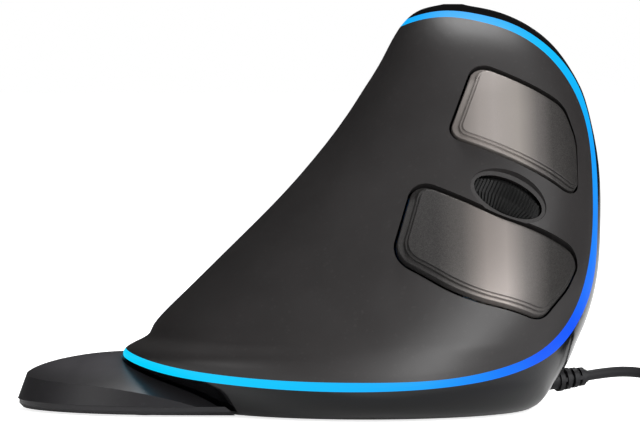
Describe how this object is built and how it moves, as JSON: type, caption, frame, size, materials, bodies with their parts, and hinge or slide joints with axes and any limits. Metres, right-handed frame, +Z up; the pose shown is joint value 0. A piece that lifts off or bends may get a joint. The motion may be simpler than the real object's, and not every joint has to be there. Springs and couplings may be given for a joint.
{
  "type": "vertical computer mouse",
  "caption": "Right-handed vertical computer mouse with two click keys, a scroll wheel, thumb buttons, a light strip, a detachable palm rest and a cable with its plug.",
  "frame": {"origin": "centre of the mouse and its palm rest in plan, at the desk, without the cable", "axes": "+X to the front, where the cable leaves; -Y the finger side, +Y the thumb side; +Z up"},
  "size_m": [0.2168, 0.0869, 0.084],
  "materials": {
    "soft_shell": "soft-touch, fine grain",
    "gloss_shell": "glossy black",
    "light_guide": "translucent, lit from behind",
    "key_satin": "satin metallic paint",
    "button_gloss": "glossy",
    "wheel_rubber": "matte",
    "inner_plastic": "moulded",
    "switch_plastic": "moulded",
    "circuit_board": "solder mask",
    "flex_board": "polyimide film",
    "flat_cable": "flat flexible cable",
    "header_plastic": "moulded",
    "sensor_chip": "moulded",
    "clear_lens": "clear",
    "led_cell": "diode package",
    "steel": "plain",
    "magnet_nickel": "nickel plated",
    "skate_film": "smooth low-friction film",
    "rest_plastic": "fine grain",
    "rest_rubber": "matte",
    "cable_rubber": "smooth jacket",
    "tie_plastic": "moulded",
    "plug_steel": "nickel plated",
    "plug_insulator": "moulded"
  },
  "bodies": {
    "mouse_body": {"palm_shell": "soft_shell", "thumb_shell": "gloss_shell", "base": "gloss_shell", "light_strip": "light_guide", "key_pins": "steel", "left_key_switch": "switch_plastic", "right_key_switch": "switch_plastic", "key_board": "circuit_board", "inner_frame": "inner_plastic", "wheel_switch": "switch_plastic", "side_board": "circuit_board", "side_switches": "switch_plastic", "main_board": "circuit_board", "optical_sensor": "sensor_chip", "sensor_lens": "clear_lens", "cable_header": "header_plastic", "ribbon_sockets": "header_plastic", "board_cable": "flat_cable", "frame_screws": "steel", "base_screws": "steel", "rear_skate": "skate_film", "front_skate": "skate_film", "sensor_ring": "skate_film", "base_magnets": "magnet_nickel", "strip_leds": "led_cell", "led_board": "flex_board", "strain_relief": "cable_rubber", "cable_core": "cable_rubber", "cable_lead": "cable_rubber", "cable_coil": "cable_rubber", "cable_tail": "cable_rubber", "coil_tie": "tie_plastic", "usb_grip": "cable_rubber", "usb_shell": "plug_steel", "usb_tongue": "plug_insulator"},
    "left_key": {"left_key": "key_satin"},
    "right_key": {"right_key": "key_satin"},
    "wheel_cradle": {"wheel_cradle": "inner_plastic", "wheel_encoder": "switch_plastic"},
    "wheel": {"wheel_tyre": "wheel_rubber", "wheel_hub": "inner_plastic"},
    "back_button": {"back_button": "button_gloss"},
    "forward_button": {"forward_button": "button_gloss"},
    "dpi_button": {"dpi_button": "button_gloss"},
    "palm_rest": {"palm_rest_cover": "rest_plastic", "palm_rest_plate": "rest_plastic", "rest_magnets": "magnet_nickel", "rest_screws": "steel", "rest_pads": "rest_rubber"}
  },
  "joints": [
    {"name": "left_key_press", "type": "hinge", "parent": "mouse_body", "child": "left_key", "pos_m": [0.03385, -0.00413, 0.05955], "axis": [0.379, 0.5415, 0.7504], "range_deg": [0, 1.7], "stiffness_Nm_per_rad": 0.3, "springref_deg": -0.57},
    {"name": "right_key_press", "type": "hinge", "parent": "mouse_body", "child": "right_key", "pos_m": [0.02146, -0.01912, 0.03597], "axis": [0.379, 0.5415, 0.7504], "range_deg": [0, 1.7], "stiffness_Nm_per_rad": 0.3, "springref_deg": -0.57},
    {"name": "wheel_click", "type": "slide", "parent": "mouse_body", "child": "wheel_cradle", "axis": [-0.21, 0.8401, -0.5001], "range_m": [0, 0.0005], "stiffness_N_per_m": 2000, "springref_m": -0.0002},
    {"name": "wheel_turn", "type": "hinge", "parent": "wheel_cradle", "child": "wheel", "pos_m": [0.03878, -0.0098, 0.04016], "axis": [0.379, 0.5415, 0.7504], "continuous": true},
    {"name": "back_press", "type": "slide", "parent": "mouse_body", "child": "back_button", "axis": [0, -0.9579, 0.287], "range_m": [0, 0.0008], "stiffness_N_per_m": 800, "springref_m": -0.0002},
    {"name": "forward_press", "type": "slide", "parent": "mouse_body", "child": "forward_button", "axis": [0, -0.9579, 0.287], "range_m": [0, 0.0008], "stiffness_N_per_m": 800, "springref_m": -0.0002},
    {"name": "dpi_press", "type": "slide", "parent": "mouse_body", "child": "dpi_button", "axis": [0, -0.9579, 0.287], "range_m": [0, 0.0008], "stiffness_N_per_m": 800, "springref_m": -0.0002},
    {"name": "palm_rest_pull", "type": "slide", "parent": "mouse_body", "child": "palm_rest", "axis": [-1, 0, 0], "range_m": [0, 0.03]}
  ]
}
